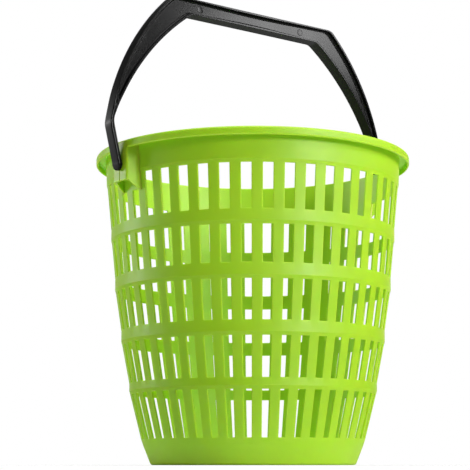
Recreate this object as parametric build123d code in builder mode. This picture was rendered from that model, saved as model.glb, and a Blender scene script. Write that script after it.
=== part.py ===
"""Round slotted harvest basket with a folding bail handle, in millimetres, +Z up.

The origin is the centre of the base on the ground. The bail turns about a line along X, through
two lugs under the rim. The basket is one moulding and the bail, with its pegs, is the other.
"""

import os
from math import asin, degrees, pi

from build123d import *

os.makedirs("parts", exist_ok=True)

# Wall of the basket, from the ground up
wall_thickness = 1.8
ledge = 0.9
ledge_rise = 3.0
base_radius = 89.4
base_corner = 3.0
crease_radius = 96.0
crease_height = 16.5

# Rows of slots from the bottom one up: low edge, high edge and outer radius at the low edge
slot_rows = [
    (22.3, 61.0, 98.0),
    (70.5, 104.0, 108.8),
    (116.5, 149.5, 116.3),
    (162.5, 193.5, 122.3),
    (206.0, 243.5, 126.3),
]
upper_band_radius = 130.9
slot_count = 45
slot_phase = -1.35
slat_width_low = 8.3
slat_width_high = 9.5
cutter_reach = 10.0

# Rolled rim
rim_height = 271.2
rim_radius = 140.5
rim_plate = 2.0
rim_corner = 2.0
skirt_height = 7.2
skirt_thickness = 1.8
channel_corner = 1.5
throat_radius = 131.9

# Floor inside the foot ring, with drain slots in rings: count, inner radius and outer radius
floor_low = 4.0
floor_thickness = 2.4
foot_inner_radius = 82.0
foot_draft = 1.0
drain_width = 6.0
drain_rings = [(12, 18.0, 42.0), (24, 50.0, 75.0)]

# Lugs that carry the bail
pivot_height = 250.7
lug_face = 140.5
lug_plate = 2.2
lug_cheek = 2.0
lug_half_width = 10.6
lug_half_foot = 13.5
lug_low_face = 237.0
lug_low_wall = 229.5
lug_corner = 2.0
lug_slit = 1.0
lug_wall_gap = 0.2

# Bail handle: the first number is along the pivot axis, the second is up from that axis
leg_inner = 140.9
leg_thickness = 4.2
leg_half_depth = 5.5
leg_spare = 0.5
kink_inner = (149.8, 37.5)
kink_outer = (153.4, 34.0)
grip_inner = (70.5, 143.0)
grip_outer = (90.0, 158.0)
arm_bow_inner = 10.2
arm_bow_outer = 11.7
grip_half_depth = 6.2
flange_thickness = 1.6
web_thickness = 5.0
pocket_low = 50.0
outer_corner = 10.0
inner_corner = 8.0
kink_corner = 14.0

# Pegs of the bail, snapped into the lugs
peg_radius = 2.95
peg_clearance = 0.05
peg_root = 1.0
barb_radius = 4.0
barb_tip = 2.4
barb_gap = 0.3
barb_length = 2.6


def slat_radius(row, height):
    """Outer radius of the slats in a row: its top is one ledge inside the hoop above."""
    low, high, low_radius = slot_rows[row]
    hoop_above = slot_rows[row + 1][2] if row + 1 < len(slot_rows) else upper_band_radius
    share = (height - low) / (high - low)
    return low_radius + share * (hoop_above - ledge - low_radius)


def slot_half_width(row, height):
    """Half of the gap between two neighbouring slats, whose width grows slowly upwards."""
    share = (height - slot_rows[0][0]) / (slot_rows[-1][1] - slot_rows[0][0])
    slat_width = slat_width_low + share * (slat_width_high - slat_width_low)
    return (2 * pi * slat_radius(row, height) / slot_count - slat_width) / 2


def slot_cutters(top_limit):
    """One column of slots, as cutters that point out along +X and stop at a top limit."""
    with BuildPart() as column:
        for row, (low, high, low_radius) in enumerate(slot_rows):
            top = min(high, top_limit)
            low_half = slot_half_width(row, low)
            top_half = slot_half_width(row, top)
            with BuildSketch(Plane.YZ.offset(low_radius - cutter_reach)):
                with BuildLine():
                    Polyline((-low_half, low), (low_half, low), (top_half, top), (-top_half, top), close=True)
                make_face()
            extrude(amount=2 * cutter_reach)
    return column.part


def under_lug(angle):
    """True where a slot would run up behind one of the two lugs."""
    half_width = slot_half_width(len(slot_rows) - 1, lug_low_wall)
    half_angle = degrees(asin((lug_half_foot + half_width) / upper_band_radius))
    return abs((angle + 90) % 180 - 90) < half_angle


# Half section of the basket: up the outside, over the rim, down the inside and across the foot
rim_under = rim_height - rim_plate
skirt_low = rim_height - skirt_height
skirt_inner = rim_radius - skirt_thickness
floor_high = floor_low + floor_thickness

outside = [(base_radius, 0), (crease_radius, crease_height)]
inside = []
for row, (low, high, low_radius) in enumerate(slot_rows):
    top_radius = slat_radius(row, high)
    outside += [(low_radius, low), (top_radius, high), (top_radius + ledge, high + ledge_rise)]
    inside += [(low_radius - wall_thickness, low), (top_radius - wall_thickness, high)]
rim_line = [
    (throat_radius, rim_under),
    (skirt_inner, rim_under),
    (skirt_inner, skirt_low),
    (rim_radius, skirt_low),
    (rim_radius, rim_height),
    (throat_radius - wall_thickness, rim_height),
]
foot_line = [
    (crease_radius - wall_thickness, crease_height),
    (base_radius - wall_thickness, floor_high),
    (0, floor_high),
    (0, floor_low),
    (foot_inner_radius, floor_low),
    (foot_inner_radius + foot_draft, 0),
]

# One lug, at +X: a hollow block, open below, with a snap slit under its pivot hole
plate_inner = lug_face - lug_plate
lug_hollow = throat_radius + lug_wall_gap
lug_height = rim_under - lug_low_wall

with BuildPart() as lug:
    with BuildSketch(Plane.XY.offset(lug_low_wall)) as lug_plan:
        with BuildLine():
            Polyline(
                (upper_band_radius, -lug_half_foot),
                (lug_face, -lug_half_width),
                (lug_face, lug_half_width),
                (upper_band_radius, lug_half_foot),
                close=True,
            )
        make_face()
        fillet(lug_plan.vertices().group_by(Axis.X)[-1], lug_corner)
    extrude(amount=lug_height)
    with BuildSketch(Plane.XZ):
        with BuildLine():
            Polyline(
                (upper_band_radius, lug_low_wall),
                (lug_face, lug_low_face),
                (lug_face, rim_under),
                (upper_band_radius, rim_under),
                close=True,
            )
        make_face()
    extrude(amount=lug_half_foot, both=True, mode=Mode.INTERSECT)
    with BuildSketch(Plane.XY.offset(lug_low_wall)):
        with BuildLine():
            Polyline(
                (lug_hollow, lug_cheek - lug_half_foot),
                (plate_inner, lug_cheek - lug_half_width),
                (plate_inner, lug_half_width - lug_cheek),
                (lug_hollow, lug_half_foot - lug_cheek),
                close=True,
            )
        make_face()
    extrude(amount=lug_height, mode=Mode.SUBTRACT)
    with BuildSketch(Plane.YZ.offset(plate_inner - lug_plate)):
        with Locations((0, pivot_height)):
            Circle(peg_radius + peg_clearance)
            Rectangle(lug_slit, pivot_height - lug_low_wall, align=(Align.CENTER, Align.MAX))
    extrude(amount=3 * lug_plate, mode=Mode.SUBTRACT)

# Basket: wall, rim, foot, floor and lugs in one moulding
slot_angles = [180 + slot_phase + 360 * (index + 0.5) / slot_count for index in range(slot_count)]
long_turns = [Location((0, 0, 0), (0, 0, angle)) for angle in slot_angles if not under_lug(angle)]
short_turns = [Location((0, 0, 0), (0, 0, angle)) for angle in slot_angles if under_lug(angle)]
long_column = slot_cutters(rim_height)
short_column = slot_cutters(lug_low_wall)
far_lug = lug.part.rotate(Axis.Z, 180)
section_corners = [
    ((base_radius, 0), base_corner),
    ((rim_radius, rim_height), rim_corner),
    ((skirt_inner, rim_under), channel_corner),
    ((throat_radius, rim_under), channel_corner),
]

with BuildPart() as basket:
    with BuildSketch(Plane.XZ) as section:
        with BuildLine():
            Polyline(*outside, *rim_line, *reversed(inside), *foot_line, close=True)
        make_face()
        for (radius, height), corner_radius in section_corners:
            fillet(section.vertices().sort_by_distance((radius, height, 0))[0], corner_radius)
    revolve(axis=Axis.Z)
    with Locations(*long_turns):
        add(long_column, mode=Mode.SUBTRACT)
    with Locations(*short_turns):
        add(short_column, mode=Mode.SUBTRACT)
    with BuildSketch(Plane.XY.offset(floor_low)):
        for count, ring_inner, ring_outer in drain_rings:
            with PolarLocations((ring_inner + ring_outer) / 2, count):
                SlotOverall(ring_outer - ring_inner, drain_width)
    extrude(amount=floor_thickness, mode=Mode.SUBTRACT)
    add(lug.part)
    add(far_lug)

# Outline of the bail and of the pockets in its two faces, in the bail's own plane
leg_outer = leg_inner + leg_thickness
leg_end = -leg_half_depth - leg_spare
bail_corners = [
    (grip_outer, outer_corner),
    (grip_inner, inner_corner),
    (kink_outer, kink_corner),
    (kink_inner, kink_corner),
]

with BuildSketch(Plane.XY) as bail_outline:
    with BuildLine():
        Line((0, grip_inner[1]), grip_inner)
        SagittaArc(grip_inner, kink_inner, arm_bow_inner)
        Polyline(kink_inner, (leg_inner, 0), (leg_inner, leg_end))
        Polyline((leg_inner, leg_end), (leg_outer, leg_end), (leg_outer, 0), kink_outer)
        SagittaArc(kink_outer, grip_outer, -arm_bow_outer)
        Polyline(grip_outer, (0, grip_outer[1]), (0, grip_inner[1]))
    make_face()
    for (across, up), corner_radius in bail_corners:
        fillet(bail_outline.vertices().sort_by_distance((across, up, 0))[0], corner_radius)
    mirror(about=Plane.YZ)

with BuildSketch(Plane.XY) as pocket_outline:
    add(bail_outline.sketch)
    with Locations((0, pocket_low - flange_thickness)):
        Rectangle(3 * leg_outer, 2 * pocket_low, align=(Align.CENTER, Align.MAX), mode=Mode.SUBTRACT)
    offset(amount=-flange_thickness, mode=Mode.REPLACE)

# Bail: an H-section arch that thins into flat legs, with a barbed peg inside each leg
bail_plane = Plane(origin=(0, 0, pivot_height), x_dir=(1, 0, 0), z_dir=(0, -1, 0))
side_plane = Plane(origin=(0, 0, pivot_height), x_dir=(0, 1, 0), z_dir=(1, 0, 0))
leg_top = (leg_half_depth, kink_outer[1])
grip_low = (grip_half_depth, grip_inner[1])
grip_high = (grip_half_depth, grip_outer[1] + leg_spare)

with BuildPart() as bail_handle:
    with BuildSketch(bail_plane):
        add(bail_outline.sketch)
    extrude(amount=grip_half_depth, both=True)
    with BuildSketch(side_plane):
        with BuildLine():
            JernArc((0, -leg_half_depth), (1, 0), leg_half_depth, 90)
            Polyline((leg_half_depth, 0), leg_top, grip_low, grip_high, (0, grip_high[1]), (0, -leg_half_depth))
        make_face()
        mirror(about=Plane.YZ)
    extrude(amount=kink_outer[0], both=True, mode=Mode.INTERSECT)
    for side in (1, -1):
        with BuildSketch(bail_plane.offset(side * web_thickness / 2)):
            add(pocket_outline.sketch)
        extrude(amount=side * grip_half_depth, mode=Mode.SUBTRACT)
    for side in (1, -1):
        with BuildSketch(Plane(origin=(side * (leg_inner + peg_root), 0, pivot_height), z_dir=(-side, 0, 0))):
            Circle(peg_radius)
        extrude(amount=leg_inner + peg_root - plate_inner + barb_gap)
        barb_plane = Plane(origin=(side * (plate_inner - barb_gap), 0, pivot_height), z_dir=(-side, 0, 0))
        with BuildSketch(barb_plane):
            Circle(barb_radius)
        with BuildSketch(barb_plane.offset(barb_length)):
            Circle(barb_tip)
        loft()

basket.part.label = "basket"
bail_handle.part.label = "bail_handle"
export_step(basket.part, "parts/basket.step")
export_step(bail_handle.part, "parts/bail_handle.step")
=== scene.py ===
"""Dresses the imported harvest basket: rounded mouldings, plastic finishes, a pale stage, soft light
and the photo's camera."""
import math

import bmesh
import bpy
from mathutils import Matrix, Vector


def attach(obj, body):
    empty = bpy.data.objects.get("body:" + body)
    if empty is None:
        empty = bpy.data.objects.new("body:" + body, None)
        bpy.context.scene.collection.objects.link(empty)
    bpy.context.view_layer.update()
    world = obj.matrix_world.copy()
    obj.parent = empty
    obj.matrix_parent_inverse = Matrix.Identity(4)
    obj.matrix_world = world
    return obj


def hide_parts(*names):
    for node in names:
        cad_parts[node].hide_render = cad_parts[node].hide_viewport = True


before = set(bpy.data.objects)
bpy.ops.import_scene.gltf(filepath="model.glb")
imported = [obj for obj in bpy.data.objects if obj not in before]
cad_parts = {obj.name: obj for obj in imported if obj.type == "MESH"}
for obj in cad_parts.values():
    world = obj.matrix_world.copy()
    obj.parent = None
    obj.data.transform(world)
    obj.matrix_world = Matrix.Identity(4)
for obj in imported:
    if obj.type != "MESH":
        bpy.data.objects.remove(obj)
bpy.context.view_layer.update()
scene = bpy.context.scene
MM = 0.001

# Slots of the wall, in millimetres: low edge, high edge and outer radius at the low edge of each row
SLOT_ROWS = [
    (22.3, 61.0, 98.0),
    (70.5, 104.0, 108.8),
    (116.5, 149.5, 116.3),
    (162.5, 193.5, 122.3),
    (206.0, 243.5, 126.3),
]
TOP_ROW = len(SLOT_ROWS) - 1
SLOT_COUNT = 45
SLOT_PITCH = 2 * math.pi / SLOT_COUNT
SLOT_PHASE = math.radians(-1.35)
SHORT_SLOT_TOP = 229.5
SLAT_WIDTH_LOW = 8.3
SLAT_WIDTH_HIGH = 9.5

# Section of the wall, in millimetres
WALL = 1.8
LEDGE = 0.9
LEDGE_RISE = 3.0
UPPER_BAND_RADIUS = 130.9
BASE_RADIUS = 89.4
CREASE = (96.0, 16.5)
THROAT_RADIUS = 131.9
RIM_RADIUS = 140.5
RIM_HEIGHT = 271.2
RIM_UNDER = 269.2
SKIRT_INNER = 138.7
SKIRT_LOW = 264.0
FOOT_INNER = 82.0
FOOT_DRAFT = 1.0

# Radii that round the corners of that section, in millimetres
FOOT_ROUND = 0.6
BASE_ROUND = 3.0
CREASE_ROUND = 5.0
LEDGE_ROUND = 0.6
UNDERCUT_ROUND = 1.5
SKIRT_INNER_ROUND = 0.4
SKIRT_OUTER_ROUND = 1.3
RIM_ROUND = 2.0
MOUTH_ROUND = 0.9
CREASE_INNER_ROUND = 4.0
FLOOR_ROUND = 3.0

# Floor plate, in millimetres: each ring of slots has a count, an inner end and an outer end
FLOOR_LOW = 4.0
FLOOR_HIGH = 6.4
FLOOR_EDGE = 0.2
FLOOR_INSET = 0.05
FLOOR_OVERLAP = 0.8
FLOOR_RINGS = [(12, 18.0, 42.0), (24, 50.0, 75.0)]
FLOOR_SLOT_HALF = 3.0

# Lugs, in millimetres: root, face and inside are measured from the basket's axis, half widths from the
# lug's middle. The root is drawn for LEAN_HEIGHT, and follows the wall's lean as far out as LEAN_DEPTH.
PIVOT_HEIGHT = 250.7
LUG_ROOT = UPPER_BAND_RADIUS
LUG_FACE = 140.55
LUG_PLATE = 2.2
LUG_INSIDE = LUG_FACE - LUG_PLATE
LUG_CHEEK = 2.0
LUG_HALF_WIDTH = 10.6
LUG_HALF_FOOT = 13.5
LUG_LOW_FACE = 237.0
LUG_LOW_WALL = 228.0
LUG_TOP_GAP = 0.05
LUG_TOP = RIM_UNDER - LUG_TOP_GAP
LUG_FLARE = 5.5
LUG_FLARE_RADIUS = 5.0
LUG_FLARE_SINK = 0.6
LUG_FACE_ROUND = 2.0
LUG_INSIDE_ROUND = 0.6
LUG_HOLLOW_GAP = 0.4
LEAN_DEPTH = 3.0
LEAN_HEIGHT = 255.0
HOLE_RADIUS = 3.0
SLIT_HALF = 0.65
SLIT_REACH = 30.0
CUT_BEHIND = 1.5
CUT_BEFORE = 2.0

# Bail, in millimetres: pairs are a distance across from the middle and a height over the pivots
LEG_INNER = 140.9
LEG_OUTER = 145.1
LEG_HALF_DEPTH = 5.5
LEG_EDGE = 1.2
LEG_END_ROUND = 1.0
KINK_INNER = (149.8, 37.5)
KINK_OUTER = (153.38, 34.0)
KINK_RADIUS = 14.0
ARM_BOW_INNER = 10.2
ARM_BOW_OUTER = 11.7
GRIP_INNER = (70.5, 143.0)
GRIP_OUTER = (90.0, 158.0)
GRIP_RADIUS_INNER = 8.0
GRIP_RADIUS_OUTER = 10.0
GRIP_HALF_DEPTH = 6.2
WEB_HALF_DEPTH = 2.5
POCKET_LOW = 50.0
POCKET_RUN = 12.0
POCKET_SLOPE = 0.6
POCKET_SLOPE_SHARE = 0.05
LIP_WIDTH = 2.0
LIP_SHARE = 0.36
LIP_EDGE = 0.4
DRAFT = 0.3
LEG_END_DRAFT = 0.05

# Roundings in the bail's section: reach in millimetres, largest share of an edge, and steps
LIP_ROUND = (0.3, 0.2, 2)
WEB_ROUND = (1.6, 0.45, 5)
EDGE_SHARE = 0.7
EDGE_STEPS = 4

# Pegs and ejector marks, in millimetres: a mark's points are a radius and a height over the web
PEG_RADIUS = 2.95
PEG_ROOT = 0.6
PEG_TIP_RADIUS = 2.4
PEG_REACH = 2.9
BARB_SHOULDER = 3.8
BARB_RADIUS = 4.0
BARB_GAP = 0.3
BARB_SLOPE = 0.3
MARK_PROFILE = [(3.2, -0.2), (3.1, 0.12), (2.7, 0.12), (2.5, 0.05), (0.4, 0.05)]
MARK_LEFT = -60.0
MARK_RIGHT = 54.0

# Edge radii of the mouldings, in millimetres, the angle from which an edge counts as sharp, and half of
# the angle from which the corner of a path counts as straight
WALL_EDGE = 0.4
LUG_EDGE = 0.35
PEG_EDGE = 0.2
MARK_EDGE = 0.03
EDGE_SEGMENTS = 2
SHARP_ANGLE = math.radians(32)
STRAIGHT_HALF_ANGLE = math.radians(89.5)

# Mesh columns in one pitch of the wall, those on a slot's edges and middle, and the slot lines where
# short and full slots end
COLUMNS = 6
SLOT_LEFT, SLOT_MIDDLE, SLOT_RIGHT = 2, 3, 4
SHORT_END, FULL_END = 2, 3

# Steps and extra points of the other meshes. Each end of the bail's arm stays clear of the bend there by
# a share of the bend's radius.
ARC_STEPS = 3
FLOOR_STEPS = 120
FLOOR_SLOT_STEPS = 8
FLARE_STEPS = 8
CHEEK_STEPS = FLARE_STEPS + 1
CHEEK_SHARE = 0.9
LUG_CORNER_STEPS = 6
FACE_COLUMNS = (6.5, 4.0, 1.5)
INSIDE_COLUMNS = (6.0, 4.0, 1.5)
LUG_LEVELS = (0, 0.22, 0.5, 1)
HOLE_STEPS = 32
BEND_STEPS = 10
ARM_STEPS = 40
KINK_CLEAR = 0.35
CORNER_CLEAR = 0.75
LEG_END_DEGREES = range(15, 90, 9)
SPAN_STEPS = (10, 44, 16)
PEG_STEPS = 40
MARK_STEPS = 36


def link(obj):
    scene.collection.objects.link(obj)
    return obj


def mesh_object(name, points, faces):
    """A mesh object from points in millimetres, with its normals pointing out."""
    mesh = bpy.data.meshes.new(name)
    mesh.from_pydata([Vector(p) * MM for p in points], [], faces)
    work = bmesh.new()
    work.from_mesh(mesh)
    bmesh.ops.recalc_face_normals(work, faces=work.faces)
    work.to_mesh(mesh)
    work.free()
    return link(bpy.data.objects.new(name, mesh))


def evaluated_mesh(obj):
    """A new mesh of an object, with its modifiers or its curve settings applied."""
    bpy.context.view_layer.update()
    return bpy.data.meshes.new_from_object(obj.evaluated_get(bpy.context.evaluated_depsgraph_get()))


def shade_smooth(obj):
    """Shades a mesh smooth, with the larger faces of each corner keeping it flat."""
    for face in obj.data.polygons:
        face.use_smooth = True
    normals = obj.modifiers.new("face_normals", "WEIGHTED_NORMAL")
    normals.keep_sharp = True
    normals.weight = 100


def soften(obj, width):
    """Rounds the sharp edges of a moulding and shades it smooth."""
    bevel = obj.modifiers.new("edge_radius", "BEVEL")
    bevel.width = width * MM
    bevel.segments = EDGE_SEGMENTS
    bevel.limit_method = "ANGLE"
    bevel.angle_limit = SHARP_ANGLE
    bevel.miter_outer = "MITER_ARC"
    shade_smooth(obj)


def turns(steps):
    """Evenly spaced angles round a circle."""
    return [2 * math.pi * i / steps for i in range(steps)]


def corner_points(before, corner, after, radius, steps):
    """The points of an arc that rounds one corner of a flat path."""
    corner, before, after = Vector(corner), Vector(before), Vector(after)
    arm_in = (before - corner).normalized()
    arm_out = (after - corner).normalized()
    half = arm_in.angle(arm_out) / 2
    if radius <= 0 or half > STRAIGHT_HALF_ANGLE:
        return [tuple(corner)]
    reach = radius / math.tan(half)
    centre = corner + (arm_in + arm_out).normalized() * (radius / math.sin(half))
    start = corner + arm_in * reach - centre
    end = corner + arm_out * reach - centre
    turn = start.angle_signed(end)
    return [tuple(centre + Matrix.Rotation(-turn * i / steps, 2) @ start) for i in range(steps + 1)]


def bow_points(start, end, sagitta, steps):
    """Points along a circular arc between two flat points, both ends included."""
    start, end = Vector(start), Vector(end)
    chord = end - start
    forward = chord.normalized()
    side = Vector((chord.y, -chord.x)).normalized()
    half = chord.length / 2
    radius = (half * half + sagitta * sagitta) / (2 * sagitta)
    centre = (start + end) / 2 - side * (radius - sagitta)
    sweep = 2 * math.asin(half / radius)
    points = []
    for i in range(steps + 1):
        angle = sweep * (i / steps - 0.5)
        points.append(tuple(centre + side * radius * math.cos(angle) + forward * radius * math.sin(angle)))
    return points


def ring_faces(rings, size):
    """The faces between neighbouring closed rings of points."""
    faces = []
    for ring in range(rings - 1):
        for i in range(size):
            j = (i + 1) % size
            faces.append((ring * size + i, ring * size + j, (ring + 1) * size + j, (ring + 1) * size + i))
    return faces


def end_faces(rings, size):
    """One face over the first ring of points and one over the last."""
    return [tuple(ring * size + i for i in range(size)) for ring in (0, rings - 1)]


def lathe(profile, steps, place):
    """Points and faces of a turned form. The profile holds (radius, along) pairs, and place turns a
    radius, an angle and a distance along the axis into a point."""
    points = [place(radius, angle, along) for radius, along in profile for angle in turns(steps)]
    rings = len(profile)
    return points, ring_faces(rings, steps) + end_faces(rings, steps)


# Slotted wall, rim and foot ring
def slat_radius(row, height):
    """Outer radius of the slats of one row."""
    low, high, low_radius = SLOT_ROWS[row]
    hoop_above = UPPER_BAND_RADIUS if row == TOP_ROW else SLOT_ROWS[row + 1][2]
    return low_radius + (height - low) / (high - low) * (hoop_above - LEDGE - low_radius)


def slot_half_width(row, height):
    """Half of a slot's width in one row, which is what the slats leave of the pitch."""
    lowest, highest = SLOT_ROWS[0][0], SLOT_ROWS[TOP_ROW][1]
    share = (height - lowest) / (highest - lowest)
    slat_width = SLAT_WIDTH_LOW + share * (SLAT_WIDTH_HIGH - SLAT_WIDTH_LOW)
    return (2 * math.pi * slat_radius(row, height) / SLOT_COUNT - slat_width) / 2


def half_width_at(height):
    """Half of a slot's width at any height, carried on evenly across the plain bands."""
    marks = []
    for row, (low, high, _) in enumerate(SLOT_ROWS):
        marks += [(low, slot_half_width(row, low)), (high, slot_half_width(row, high))]
    if height <= marks[0][0]:
        return marks[0][1]
    for (z0, w0), (z1, w1) in zip(marks, marks[1:]):
        if height <= z1:
            return w0 + (height - z0) / (z1 - z0) * (w1 - w0)
    return marks[-1][1]


def slot_lines(row):
    """Heights of the mesh lines across one row of slots. The top row has one where short slots end."""
    low, high, _ = SLOT_ROWS[row]
    third = (high - low) / 3
    upper = SHORT_SLOT_TOP if row == TOP_ROW else high - third
    return [low, low + third, upper, high]


def slot_angle(k):
    """Angle of one slot's middle, counted round from the left pivot."""
    return math.pi + SLOT_PITCH * (k + 0.5) + SLOT_PHASE


def end_line(row, k):
    """The slot line where one slot ends: in the top row, slots that would run into a lug are short."""
    if row != TOP_ROW:
        return FULL_END
    half_width = slot_half_width(TOP_ROW, SHORT_SLOT_TOP)
    under_lug = abs(math.sin(slot_angle(k))) * UPPER_BAND_RADIUS < LUG_HALF_FOOT + half_width
    return SHORT_END if under_lug else FULL_END


def wall_profile():
    """The closed half section of the wall: points, and the slot line that each point lies on."""
    corners = [
        (FOOT_INNER + FOOT_DRAFT, 0, FOOT_ROUND, None),
        (BASE_RADIUS, 0, BASE_ROUND, None),
        (*CREASE, CREASE_ROUND, None),
    ]
    for row, (_, high, _) in enumerate(SLOT_ROWS):
        for line, z in enumerate(slot_lines(row)):
            corners.append((slat_radius(row, z), z, 0, ("out", row, line)))
        corners.append((slat_radius(row, high) + LEDGE, high + LEDGE_RISE, LEDGE_ROUND, None))
    corners += [
        (THROAT_RADIUS, RIM_UNDER, UNDERCUT_ROUND, None),
        (SKIRT_INNER, RIM_UNDER, UNDERCUT_ROUND, None),
        (SKIRT_INNER, SKIRT_LOW, SKIRT_INNER_ROUND, None),
        (RIM_RADIUS, SKIRT_LOW, SKIRT_OUTER_ROUND, None),
        (RIM_RADIUS, RIM_HEIGHT, RIM_ROUND, None),
        (THROAT_RADIUS - WALL, RIM_HEIGHT, MOUTH_ROUND, None),
    ]
    for row in reversed(range(len(SLOT_ROWS))):
        for line, z in reversed(list(enumerate(slot_lines(row)))):
            corners.append((slat_radius(row, z) - WALL, z, 0, ("in", row, line)))
    corners += [
        (CREASE[0] - WALL, CREASE[1], CREASE_INNER_ROUND, None),
        (BASE_RADIUS - WALL, FLOOR_HIGH, FLOOR_ROUND, None),
        (FOOT_INNER, FLOOR_HIGH, 0, None),
        (FOOT_INNER, FLOOR_LOW, 0, None),
    ]
    points = []
    tags = []
    for i, (r, z, radius, tag) in enumerate(corners):
        before = corners[i - 1][:2]
        after = corners[(i + 1) % len(corners)][:2]
        steps = max(ARC_STEPS, round(ARC_STEPS * radius ** 0.5))
        arc = corner_points(before, (r, z), after, radius, steps)
        points += arc
        tags += [tag] * len(arc)
    return points, tags


def build_wall():
    """Wall, hoops, slats, rim and foot ring: the section swept round, with a hole for every slot."""
    profile, tags = wall_profile()
    total = SLOT_COUNT * COLUMNS
    points = []
    for r, z in profile:
        edge = half_width_at(z) / r
        middle = (edge + SLOT_PITCH / 2) / 2
        offsets = (-SLOT_PITCH / 2, -middle, -edge, 0, edge, middle)
        for k in range(SLOT_COUNT):
            for offset in offsets:
                angle = slot_angle(k) + offset
                points.append((r * math.cos(angle), r * math.sin(angle), z))

    def at(line, column):
        return line * total + column % total

    faces = []
    for i in range(len(profile)):
        j = (i + 1) % len(profile)
        in_row = tags[i] and tags[j] and tags[i][:2] == tags[j][:2]
        for column in range(total):
            k, place = divmod(column, COLUMNS)
            in_slot = in_row and place in (SLOT_LEFT, SLOT_MIDDLE)
            if in_slot and max(tags[i][2], tags[j][2]) <= end_line(tags[i][1], k):
                continue
            faces.append((at(i, column), at(i, column + 1), at(j, column + 1), at(j, column)))
    index = {tag: i for i, tag in enumerate(tags) if tag}
    for row in range(len(SLOT_ROWS)):
        for k in range(SLOT_COUNT):
            left, middle, right = (k * COLUMNS + place for place in (SLOT_LEFT, SLOT_MIDDLE, SLOT_RIGHT))
            end = end_line(row, k)
            for column in (left, right):
                for line in range(end):
                    o0, o1 = index["out", row, line], index["out", row, line + 1]
                    i0, i1 = index["in", row, line], index["in", row, line + 1]
                    faces.append((at(o0, column), at(o1, column), at(i1, column), at(i0, column)))
            for line in (0, end):
                o, i = index["out", row, line], index["in", row, line]
                for a, b in ((left, middle), (middle, right)):
                    faces.append((at(o, a), at(o, b), at(i, b), at(i, a)))
    wall = mesh_object("basket_wall", points, faces)
    soften(wall, WALL_EDGE)
    return wall


# Floor plate
def floor_slot(inner, outer, angle):
    """The outline of a slot with round ends, along one radius of the floor."""
    points = []
    for centre, start in ((outer - FLOOR_SLOT_HALF, -90), (inner + FLOOR_SLOT_HALF, 90)):
        for step in range(FLOOR_SLOT_STEPS + 1):
            around = math.radians(start + 180 / FLOOR_SLOT_STEPS * step)
            x = centre + FLOOR_SLOT_HALF * math.cos(around)
            y = FLOOR_SLOT_HALF * math.sin(around)
            turned_x = x * math.cos(angle) - y * math.sin(angle)
            turned_y = x * math.sin(angle) + y * math.cos(angle)
            points.append((turned_x, turned_y))
    return points


def build_floor():
    """The drained floor plate, with its rings of slots cut through."""
    curve = bpy.data.curves.new("floor_outline", "CURVE")
    curve.dimensions = "2D"
    curve.fill_mode = "BOTH"
    curve.extrude = (FLOOR_HIGH - FLOOR_LOW - 2 * (FLOOR_EDGE + FLOOR_INSET)) / 2 * MM
    curve.bevel_depth = FLOOR_EDGE * MM
    curve.bevel_resolution = 2

    def outline(points):
        spline = curve.splines.new("POLY")
        spline.points.add(len(points) - 1)
        spline.use_cyclic_u = True
        for point, (x, y) in zip(spline.points, points):
            point.co = (x * MM, y * MM, 0, 1)

    radius = FOOT_INNER + FLOOR_OVERLAP
    outline([(radius * math.cos(angle), radius * math.sin(angle)) for angle in turns(FLOOR_STEPS)])
    for count, inner, outer in FLOOR_RINGS:
        for angle in turns(count):
            outline(floor_slot(inner, outer, angle))
    source = link(bpy.data.objects.new("floor_outline", curve))
    mesh = evaluated_mesh(source)
    bpy.data.objects.remove(source)
    mesh.name = "basket_floor"
    mesh.transform(Matrix.Translation((0, 0, (FLOOR_LOW + FLOOR_HIGH) / 2 * MM)))
    return link(bpy.data.objects.new("basket_floor", mesh))


# Lugs under the rim
def wall_radius(height):
    """Outer radius of the wall beside a lug."""
    _, high, _ = SLOT_ROWS[TOP_ROW]
    if height < high:
        return slat_radius(TOP_ROW, height)
    return UPPER_BAND_RADIUS + (height - high) / (RIM_UNDER - high) * (THROAT_RADIUS - UPPER_BAND_RADIUS)


def mirrored(half):
    """Half of an outline, followed by its mirror image."""
    return half + [(r, -y) for r, y in reversed(half)]


def lug_outlines():
    """A lug from above, as (depth, across) points: its outside, and its hollow in as many points."""
    foot = (LUG_ROOT, LUG_HALF_FOOT)
    face_corner = (LUG_FACE, LUG_HALF_WIDTH)
    flare_end = (LUG_ROOT - LUG_FLARE_SINK, LUG_HALF_FOOT + LUG_FLARE)
    outside = [flare_end]
    outside += corner_points(flare_end, foot, face_corner, LUG_FLARE_RADIUS, FLARE_STEPS)
    outside += corner_points(foot, face_corner, (LUG_FACE, 0), LUG_FACE_ROUND, LUG_CORNER_STEPS)
    outside += [(LUG_FACE, y) for y in FACE_COLUMNS]
    start = (LUG_ROOT + LUG_HOLLOW_GAP, LUG_HALF_FOOT - LUG_CHEEK)
    corner = (LUG_INSIDE, LUG_HALF_WIDTH - LUG_CHEEK)
    shares = [CHEEK_SHARE * i / CHEEK_STEPS for i in range(CHEEK_STEPS + 1)]
    hollow = [tuple(Vector(start).lerp(Vector(corner), share)) for share in shares]
    hollow += corner_points(start, corner, (LUG_INSIDE, 0), LUG_INSIDE_ROUND, LUG_CORNER_STEPS)
    hollow += [(LUG_INSIDE, y) for y in INSIDE_COLUMNS]
    return mirrored(outside), mirrored(hollow)


def lug_bottom(r):
    """Height of a lug's lower edge, which curves down from its face to the wall."""
    share = max(0.0, (LUG_FACE - r) / (LUG_FACE - LUG_ROOT))
    return LUG_LOW_FACE - (LUG_LOW_FACE - LUG_LOW_WALL) * share ** 2


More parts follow.
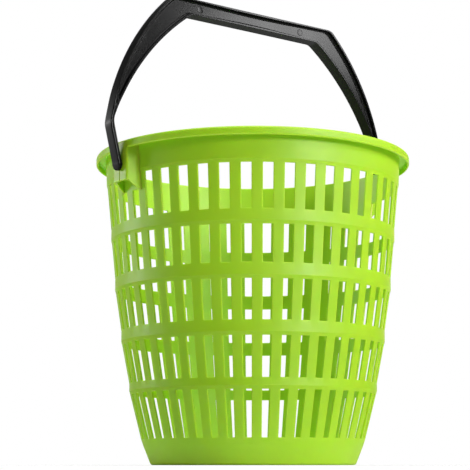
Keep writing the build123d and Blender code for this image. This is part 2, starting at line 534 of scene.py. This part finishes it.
def build_keyhole():
    """The cutter for a lug's pivot hole and the snap slit below it."""
    edge = math.asin(SLIT_HALF / HOLE_RADIUS)
    outline = [(SLIT_HALF, -SLIT_REACH)]
    for i in range(HOLE_STEPS + 1):
        around = -math.pi / 2 + edge + (2 * math.pi - 2 * edge) * i / HOLE_STEPS
        outline.append((HOLE_RADIUS * math.cos(around), HOLE_RADIUS * math.sin(around)))
    outline.append((-SLIT_HALF, -SLIT_REACH))
    ends = (LUG_INSIDE - CUT_BEHIND, LUG_FACE + CUT_BEFORE)
    points = [(x, y, PIVOT_HEIGHT + z) for x in ends for y, z in outline]
    faces = end_faces(2, len(outline)) + ring_faces(2, len(outline))
    return mesh_object("keyhole", points, faces)


def build_lug(name, turn):
    """A hollow block, open below and flush with the rim, with the pivot hole and its slit in the face."""
    outside, hollow = lug_outlines()
    ring = outside + hollow[::-1]
    points = []
    for level in LUG_LEVELS:
        for r, y in ring:
            z = lug_bottom(r) + level * (LUG_TOP - lug_bottom(r))
            near_wall = max(0.0, 1 - (r - LUG_ROOT) / LEAN_DEPTH)
            r += near_wall * (wall_radius(z) - wall_radius(LEAN_HEIGHT))
            points.append((math.sqrt(r * r - y * y), y, z))
    size = len(ring)
    faces = ring_faces(len(LUG_LEVELS), size)
    for level in (0, len(LUG_LEVELS) - 1):
        for i in range(len(outside) - 1):
            faces.append(tuple(level * size + v for v in (i, i + 1, size - 2 - i, size - 1 - i)))
    lug = mesh_object(name, points, faces)
    cutter = build_keyhole()
    cut = lug.modifiers.new("keyhole", "BOOLEAN")
    cut.object = cutter
    cut.solver = "EXACT"
    mesh = evaluated_mesh(lug)
    lug.modifiers.clear()
    lug.data = mesh
    bpy.data.objects.remove(cutter)
    mesh.transform(Matrix.Rotation(turn, 4, "Z"))
    soften(lug, LUG_EDGE)
    return lug


# Bail handle
def bail_point(across, up, depth):
    """A point of the bail's own plane, in the basket's frame."""
    return across, depth, PIVOT_HEIGHT + up


def half_depth(up):
    """Half of the bail's depth: round at the end of a leg, and wider from the kink up to the grip."""
    if up <= 0:
        return math.sqrt(max(0.0, LEG_HALF_DEPTH ** 2 - up ** 2))
    t = min(1.0, max(0.0, (up - KINK_OUTER[1]) / (GRIP_INNER[1] - KINK_OUTER[1])))
    return LEG_HALF_DEPTH + (GRIP_HALF_DEPTH - LEG_HALF_DEPTH) * t


def bail_edge(leg, kink, corner, bow, corner_radius):
    """One edge of the bail from the pivot to the middle of the grip: its points, the length of the path
    at each, and the lengths at its start, its kink, its corner and its end."""
    arm = bow_points(kink, corner, bow, ARM_STEPS)
    kink_clear = KINK_CLEAR * KINK_RADIUS
    corner_clear = CORNER_CLEAR * corner_radius
    path = [(leg, 0.0)]
    path += corner_points((leg, 0.0), kink, arm[1], KINK_RADIUS, BEND_STEPS)
    path += [p for p in arm if math.dist(p, kink) > kink_clear and math.dist(p, corner) > corner_clear]
    path += corner_points(arm[-2], corner, (0, corner[1]), corner_radius, BEND_STEPS)
    path.append((0.0, corner[1]))
    lengths = [0.0]
    for a, b in zip(path, path[1:]):
        lengths.append(lengths[-1] + math.dist(a, b))

    def nearest(target):
        return min(range(len(path)), key=lambda i: math.dist(path[i], target))

    return path, lengths, (0.0, lengths[nearest(kink)], lengths[nearest(corner)], lengths[-1])


def point_along(path, lengths, distance):
    """The point of a path at a distance from its start."""
    for i in range(1, len(path)):
        if distance <= lengths[i] or i == len(path) - 1:
            span = lengths[i] - lengths[i - 1]
            t = min(1.0, (distance - lengths[i - 1]) / span)
            return tuple(a + t * (b - a) for a, b in zip(path[i - 1], path[i]))


def bail_stations():
    """Matched points of the outer and inner edge, from the end of the leg to the middle of the grip."""
    outer = bail_edge(LEG_OUTER, KINK_OUTER, GRIP_OUTER, ARM_BOW_OUTER, GRIP_RADIUS_OUTER)
    inner = bail_edge(LEG_INNER, KINK_INNER, GRIP_INNER, ARM_BOW_INNER, GRIP_RADIUS_INNER)
    lean = (KINK_OUTER[0] - LEG_OUTER) / KINK_OUTER[1]
    stations = []
    for degrees in LEG_END_DEGREES:
        drop = -LEG_HALF_DEPTH * math.cos(math.radians(degrees))
        low = max(0.0, LEG_END_ROUND - (LEG_HALF_DEPTH + drop))
        inset = LEG_END_ROUND - math.sqrt(LEG_END_ROUND ** 2 - low * low)
        stations.append(((LEG_OUTER + lean * drop - inset, drop), (LEG_INNER + inset, drop)))
    for span, steps in enumerate(SPAN_STEPS):
        last_span = span == len(SPAN_STEPS) - 1
        for i in range(steps + last_span):
            t = 0.5 - 0.5 * math.cos(math.pi * i / steps)
            pair = []
            for path, lengths, keys in (outer, inner):
                pair.append(point_along(path, lengths, keys[span] + t * (keys[span + 1] - keys[span])))
            stations.append(tuple(pair))
    return stations


def eased_corner(before, corner, after, reach, share, steps):
    """Points that round one corner of a section, each arm no longer than a share of its edge."""
    before, corner, after = Vector(before), Vector(corner), Vector(after)
    start = corner + (before - corner) * min(share, reach / (before - corner).length)
    end = corner + (after - corner) * min(share, reach / (after - corner).length)
    points = []
    for i in range(steps + 1):
        t = i / steps
        points.append(tuple(start * (1 - t) ** 2 + corner * 2 * t * (1 - t) + end * t ** 2))
    return points


def bail_section(outer, inner):
    """One H-shaped section of the bail, as points round its outline."""
    across = Vector(outer) - Vector(inner)
    width = across.length
    across.normalize()
    middle = (outer[1] + inner[1]) / 2
    deep_out, deep_in = half_depth(outer[1]), half_depth(inner[1])
    draft = DRAFT if middle > 0 else LEG_END_DRAFT
    lip = min(LIP_WIDTH, LIP_SHARE * width)
    slope = min(POCKET_SLOPE, POCKET_SLOPE_SHARE * width)
    run = min(1.0, max(0.0, (middle - POCKET_LOW) / POCKET_RUN))
    sunk = run * run * (3 - 2 * run)
    web_out = deep_out + (WEB_HALF_DEPTH - deep_out) * sunk
    web_in = deep_in + (WEB_HALF_DEPTH - deep_in) * sunk
    edge_round = (LEG_EDGE + (LIP_EDGE - LEG_EDGE) * sunk, EDGE_SHARE, EDGE_STEPS)
    start, end = (width, 0.0), (0.0, 0.0)
    corners = [
        ((width - draft, deep_out), edge_round),
        ((width - draft - lip, deep_out), LIP_ROUND),
        ((width - draft - lip - slope, web_out), WEB_ROUND),
        ((draft + lip + slope, web_in), WEB_ROUND),
        ((draft + lip, deep_in), LIP_ROUND),
        ((draft, deep_in), edge_round),
    ]
    front = [start] + [corner for corner, _ in corners] + [end]
    outline = [start]
    for before, (corner, rounding), after in zip(front, corners, front[2:]):
        outline += eased_corner(before, corner, after, *rounding)
    outline.append(end)
    outline += [(p, -d) for p, d in reversed(outline[1:-1])]
    return [(*(Vector(inner) + across * p), d) for p, d in outline]


def build_bail():
    """The H-section arch with its flat legs and round leg ends, in one sweep from leg to leg."""
    half = [bail_section(outer, inner) for outer, inner in bail_stations()]
    sections = half + [[(-x, y, d) for x, y, d in section] for section in reversed(half[:-1])]
    rings, size = len(sections), len(sections[0])
    points = [bail_point(*p) for section in sections for p in section]
    bail = mesh_object("bail_arch", points, ring_faces(rings, size) + end_faces(rings, size))
    shade_smooth(bail)
    return bail


def build_peg(name, side):
    """A barbed peg on the inside of one leg."""
    shoulder = LUG_INSIDE - BARB_GAP
    profile = [
        (PEG_RADIUS, LEG_INNER + PEG_ROOT),
        (PEG_RADIUS, shoulder),
        (BARB_SHOULDER, shoulder),
        (BARB_RADIUS, LUG_INSIDE - BARB_GAP - BARB_SLOPE),
        (PEG_TIP_RADIUS, LUG_INSIDE - PEG_REACH),
    ]

    def place(radius, angle, x):
        return side * x, radius * math.cos(angle), PIVOT_HEIGHT + radius * math.sin(angle)

    peg = mesh_object(name, *lathe(profile, PEG_STEPS, place))
    soften(peg, PEG_EDGE)
    return peg


def build_mark(name, across):
    """A shallow round ejector mark on the web, near one end of the grip."""
    up = (GRIP_INNER[1] + GRIP_OUTER[1]) / 2
    profile = [(radius, -WEB_HALF_DEPTH - height) for radius, height in MARK_PROFILE]

    def place(radius, angle, depth):
        return bail_point(across + radius * math.cos(angle), up + radius * math.sin(angle), depth)

    mark = mesh_object(name, *lathe(profile, MARK_STEPS, place))
    soften(mark, MARK_EDGE)
    return mark


# Node helpers
def principled(name):
    material = bpy.data.materials.new(name)
    material.use_nodes = True
    return material, material.node_tree, material.node_tree.nodes["Principled BSDF"]


def noise(tree, scale, detail, stretch=(1, 1, 1)):
    """Noise over the object's own coordinates, in metres."""
    place = tree.nodes.new("ShaderNodeTexCoord")
    mapping = tree.nodes.new("ShaderNodeMapping")
    texture = tree.nodes.new("ShaderNodeTexNoise")
    mapping.inputs["Scale"].default_value = stretch
    texture.inputs["Scale"].default_value = scale
    texture.inputs["Detail"].default_value = detail
    tree.links.new(place.outputs["Object"], mapping.inputs["Vector"])
    tree.links.new(mapping.outputs["Vector"], texture.inputs["Vector"])
    return texture.outputs["Fac"]


def ramp(tree, source, stops):
    """A colour ramp over a value, with (position, colour) stops."""
    node = tree.nodes.new("ShaderNodeValToRGB")
    elements = node.color_ramp.elements
    while len(elements) < len(stops):
        elements.new(0.5)
    for element, (position, colour) in zip(elements, stops):
        element.position = position
        element.color = (*colour, 1)
    tree.links.new(source, node.inputs["Fac"])
    return node.outputs["Color"]


def grey(value):
    return value, value, value


def math_node(tree, operation, *sources):
    node = tree.nodes.new("ShaderNodeMath")
    node.operation = operation
    for source, socket in zip(sources, node.inputs):
        tree.links.new(source, socket)
    return node.outputs["Value"]


def map_range(tree, source, start, end, low=0.0, high=1.0, shape="SMOOTHSTEP"):
    """A value that goes from low to high as the source goes from start to end."""
    node = tree.nodes.new("ShaderNodeMapRange")
    node.interpolation_type = shape
    node.inputs["From Min"].default_value = start
    node.inputs["From Max"].default_value = end
    node.inputs["To Min"].default_value = low
    node.inputs["To Max"].default_value = high
    tree.links.new(source, node.inputs["Value"])
    return node.outputs["Result"]


def bump(tree, shader, height, strength, distance):
    node = tree.nodes.new("ShaderNodeBump")
    node.inputs["Strength"].default_value = strength
    node.inputs["Distance"].default_value = distance
    tree.links.new(height, node.inputs["Height"])
    tree.links.new(node.outputs["Normal"], shader.inputs["Normal"])


# Finishes
def green_plastic():
    """Satin lime polypropylene: faint flow marks, a fine moulded grain and a little light inside."""
    material, tree, shader = principled("green_plastic")
    flow = noise(tree, scale=9.0, detail=3.0, stretch=(1.0, 1.0, 0.22))
    colour = ramp(tree, flow, [(0.3, (0.400, 0.655, 0.014)), (0.7, (0.430, 0.685, 0.020))])
    tree.links.new(colour, shader.inputs["Base Color"])
    scuff = noise(tree, scale=46.0, detail=6.0)
    rough = ramp(tree, scuff, [(0.35, grey(0.45)), (0.7, grey(0.53))])
    tree.links.new(rough, shader.inputs["Roughness"])
    bump(tree, shader, noise(tree, scale=1400.0, detail=2.0), strength=0.06, distance=0.0002)
    shader.inputs["IOR"].default_value = 1.49
    shader.inputs["Subsurface Weight"].default_value = 1.0
    shader.inputs["Subsurface Radius"].default_value = (0.75, 1.0, 0.2)
    shader.inputs["Subsurface Scale"].default_value = 0.0045
    return material


def black_plastic():
    """Satin black polypropylene, less glossy on its sides, with a fine grain and faint handling wear."""
    material, tree, shader = principled("black_plastic")
    wear = noise(tree, scale=60.0, detail=5.0)
    colour = ramp(tree, wear, [(0.35, grey(0.003)), (0.75, grey(0.007))])
    tree.links.new(colour, shader.inputs["Base Color"])
    coordinates = tree.nodes.new("ShaderNodeTexCoord")
    facing = tree.nodes.new("ShaderNodeSeparateXYZ")
    tree.links.new(coordinates.outputs["Normal"], facing.inputs["Vector"])
    squareness = math_node(tree, "ABSOLUTE", facing.outputs["Y"])
    side_rough = ramp(tree, squareness, [(0.5, grey(0.2)), (0.8, grey(0.0))])
    polish = noise(tree, scale=40.0, detail=2.0)
    rough = ramp(tree, polish, [(0.3, grey(0.185)), (0.7, grey(0.21))])
    tree.links.new(math_node(tree, "ADD", side_rough, rough), shader.inputs["Roughness"])
    bump(tree, shader, noise(tree, scale=1800.0, detail=2.0), strength=0.003, distance=0.0002)
    shader.inputs["IOR"].default_value = 1.45
    shader.inputs["Specular IOR Level"].default_value = 0.18
    return material


def dress(obj, material, body, node):
    obj.data.materials.clear()
    obj.data.materials.append(material)
    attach(obj, body)
    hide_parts(node)


green = green_plastic()
black = black_plastic()
basket_pieces = [build_wall(), build_floor(), build_lug("lug_right", 0.0), build_lug("lug_left", math.pi)]
bail_pieces = [build_bail(), build_peg("peg_right", 1), build_peg("peg_left", -1)]
bail_pieces += [build_mark("mark_left", MARK_LEFT), build_mark("mark_right", MARK_RIGHT)]
for piece in basket_pieces:
    dress(piece, green, "basket", "basket")
for piece in bail_pieces:
    dress(piece, black, "bail", "bail_handle")

# Camera at the photo's angle, in metres: close to the ground, left of the view square to the bail, and
# tilted up. The basket's axis lies a few pixels right of the picture's middle.
IMAGE_PX = 470
FOCAL_PX = 1434.0
AXIS_OFFSET_PX = 17.9
CAMERA_AZIMUTH = math.radians(-37.05)
CAMERA_DISTANCE = 1.270
CAMERA_HEIGHT = 0.0006
CAMERA_PITCH = math.radians(9.09)
CAMERA_YAW = math.atan(AXIS_OFFSET_PX / FOCAL_PX)

camera_data = bpy.data.cameras.new("camera")
camera_data.sensor_width = 36.0
camera_data.lens = camera_data.sensor_width * FOCAL_PX / IMAGE_PX
camera = link(bpy.data.objects.new("camera", camera_data))
camera.location = (
    CAMERA_DISTANCE * math.sin(CAMERA_AZIMUTH),
    -CAMERA_DISTANCE * math.cos(CAMERA_AZIMUTH),
    CAMERA_HEIGHT,
)
camera.rotation_euler = (math.pi / 2 + CAMERA_PITCH, 0, CAMERA_AZIMUTH + CAMERA_YAW)
scene.camera = camera

# Stage, in metres, and the room's light: grey levels from straight down (0) to straight up (1)
STAGE_RADIUS = 0.5
STAGE_STEPS = 96
STAGE_FADE_START = 0.09
STAGE_FADE_END = 0.30
ROOM_GREYS = [(0.0, 1.0), (0.225, 0.9), (0.325, 0.25), (0.4, 0.015), (1.0, 0.015)]
ROOM_STRENGTH = 1.25

# Reflections show the white backdrop only along the view's heading and above the ground: the cosine of
# the angle off that heading and the rise of a direction, each from none of it to all
BACKDROP_COSINE = (0.75, 0.95)
BACKDROP_RISE = (-0.1, 0.0)

# Softboxes: degrees right of the camera, degrees up, distance and size in metres, and power in watts
SOFTBOXES = {
    "key": (46, 14, 3.0, 0.7, 53),
    "key_high": (46, 35, 3.0, 0.9, 6),
    "grip_strip": (76.5, 28.8, 1.14, 0.22, 2.9),
    "right_side": (95, 20, 3.0, 0.8, 3),
    "left_side": (-108, 14, 3.0, 0.8, 30),
    "overhead": (0, 82, 1.5, 1.1, 20),
}
SOFTBOX_TARGET = Vector((0, 0, 0.16))


def build_stage():
    """A round pale floor that fades out into the white background."""
    points = [(STAGE_RADIUS * math.cos(a), STAGE_RADIUS * math.sin(a), 0) for a in turns(STAGE_STEPS)]
    mesh = bpy.data.meshes.new("floor")
    mesh.from_pydata(points, [], [tuple(range(STAGE_STEPS))])
    ground = link(bpy.data.objects.new("floor", mesh))
    material, tree, shader = principled("pale_floor")
    shader.inputs["Base Color"].default_value = (0.86, 0.86, 0.86, 1)
    shader.inputs["Roughness"].default_value = 0.9
    shader.inputs["Specular IOR Level"].default_value = 0.1
    place = tree.nodes.new("ShaderNodeTexCoord")
    reach = tree.nodes.new("ShaderNodeVectorMath")
    reach.operation = "LENGTH"
    tree.links.new(place.outputs["Object"], reach.inputs[0])
    fade = map_range(tree, reach.outputs["Value"], STAGE_FADE_START, STAGE_FADE_END, low=1.0, high=0.0)
    tree.links.new(fade, shader.inputs["Alpha"])
    mesh.materials.append(material)


def build_world():
    """A white backdrop for the camera and for reflections of what lies behind the basket, and a dim
    room, lit from below, for all other light."""
    world = bpy.data.worlds.new("studio")
    scene.world = world
    world.use_nodes = True
    tree = world.node_tree
    backdrop = tree.nodes["Background"]
    backdrop.inputs["Color"].default_value = (1, 1, 1, 1)
    backdrop.inputs["Strength"].default_value = 1.0
    ambient = tree.nodes.new("ShaderNodeBackground")
    ambient.inputs["Strength"].default_value = ROOM_STRENGTH
    place = tree.nodes.new("ShaderNodeTexCoord")
    split = tree.nodes.new("ShaderNodeSeparateXYZ")
    tree.links.new(place.outputs["Generated"], split.inputs["Vector"])
    rise = map_range(tree, split.outputs["Z"], -1.0, 1.0, shape="LINEAR")
    room = ramp(tree, rise, [(position, grey(level)) for position, level in ROOM_GREYS])
    tree.links.new(room, ambient.inputs["Color"])

    toward = tree.nodes.new("ShaderNodeVectorMath")
    toward.operation = "DOT_PRODUCT"
    toward.inputs[1].default_value = (-math.sin(CAMERA_AZIMUTH), math.cos(CAMERA_AZIMUTH), 0)
    tree.links.new(place.outputs["Generated"], toward.inputs[0])
    behind = map_range(tree, toward.outputs["Value"], *BACKDROP_COSINE)
    above = map_range(tree, split.outputs["Z"], *BACKDROP_RISE)
    path = tree.nodes.new("ShaderNodeLightPath")
    glossy, through = path.outputs["Is Glossy Ray"], path.outputs["Is Transmission Ray"]
    reflected = math_node(tree, "MAXIMUM", glossy, through)
    reflected = math_node(tree, "MULTIPLY", reflected, behind)
    reflected = math_node(tree, "MULTIPLY", reflected, above)
    seen = math_node(tree, "MAXIMUM", path.outputs["Is Camera Ray"], reflected)
    mix = tree.nodes.new("ShaderNodeMixShader")
    tree.links.new(seen, mix.inputs["Fac"])
    tree.links.new(ambient.outputs["Background"], mix.inputs[1])
    tree.links.new(backdrop.outputs["Background"], mix.inputs[2])
    tree.links.new(mix.outputs["Shader"], tree.nodes["World Output"].inputs["Surface"])


def softbox(name, azimuth, elevation, distance, size, power):
    """A square area light aimed at the basket."""
    turn = CAMERA_AZIMUTH + math.radians(azimuth)
    rise = math.radians(elevation)
    back = Vector((math.sin(turn) * math.cos(rise), -math.cos(turn) * math.cos(rise), math.sin(rise)))
    light = bpy.data.lights.new(name, "AREA")
    light.shape = "SQUARE"
    light.size = size
    light.energy = power
    lamp = link(bpy.data.objects.new(name, light))
    lamp.location = SOFTBOX_TARGET + back * distance
    lamp.rotation_euler = back.to_track_quat("Z", "Y").to_euler()


build_stage()
build_world()
for name, settings in SOFTBOXES.items():
    softbox(name, *settings)
scene.view_settings.view_transform = "Standard"
